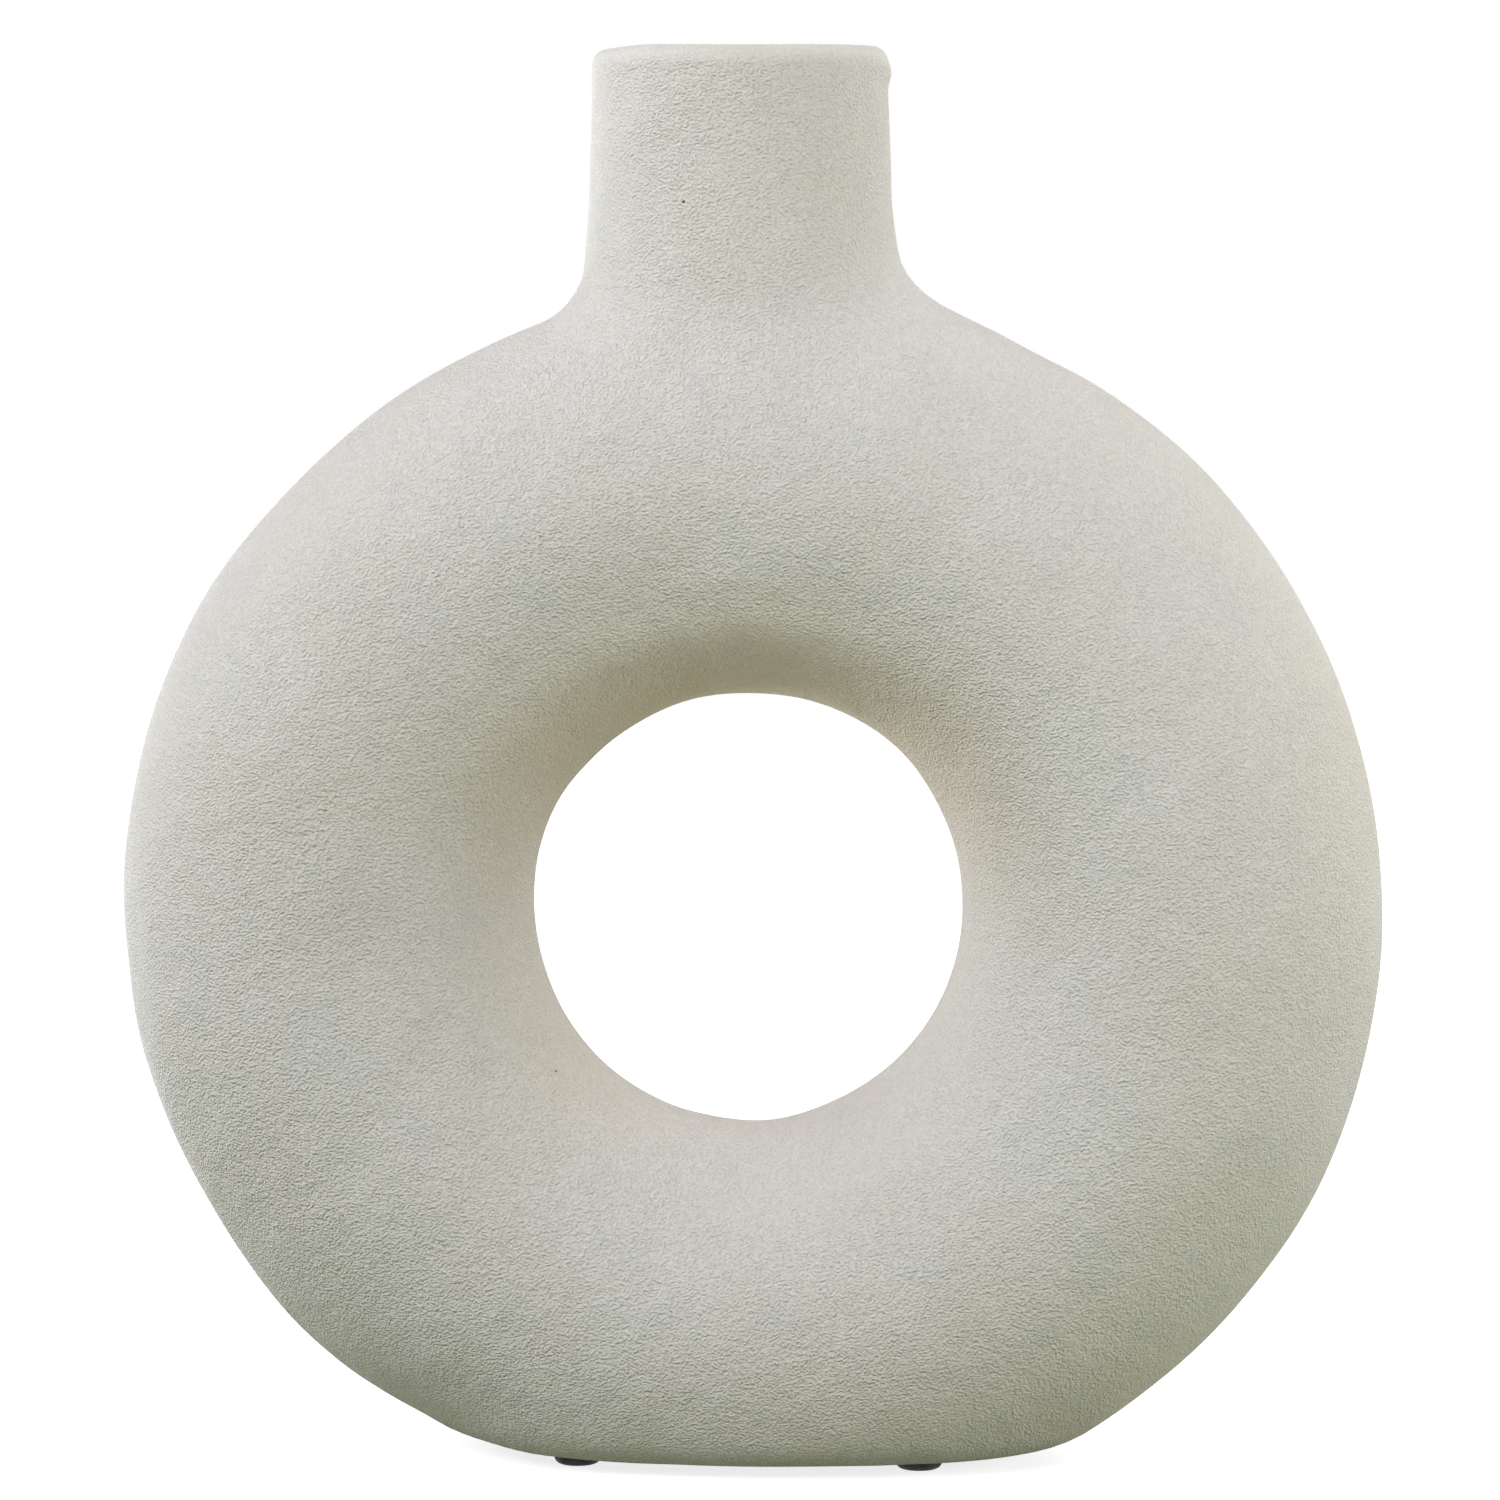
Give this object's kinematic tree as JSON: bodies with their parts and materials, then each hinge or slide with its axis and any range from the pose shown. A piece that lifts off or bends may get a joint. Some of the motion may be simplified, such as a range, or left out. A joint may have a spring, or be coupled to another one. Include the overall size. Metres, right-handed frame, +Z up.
{
  "type": "donut vase",
  "caption": "Free-standing ring-shaped flower vase in matt off-white ceramic, with an oval neck, a round hole through the body and rubber feet under a flat base.",
  "frame": {"origin": "on the table, under the middle of the ring, at the centre of the footprint", "axes": "+Z up through the neck, -Y out of the front face, +X to the right of someone facing the front"},
  "size_m": [0.215, 0.064, 0.2399],
  "materials": {
    "matt_ceramic": "matte",
    "rubber": "matte",
    "adhesive": "satin"
  },
  "bodies": {
    "root": {"vase_body": "matt_ceramic", "bumper_front_left": "rubber", "bumper_front_right": "rubber", "bumper_rear_left": "rubber", "bumper_rear_right": "rubber", "adhesive_front_left": "adhesive", "adhesive_front_right": "adhesive", "adhesive_rear_left": "adhesive", "adhesive_rear_right": "adhesive"}
  },
  "joints": []
}
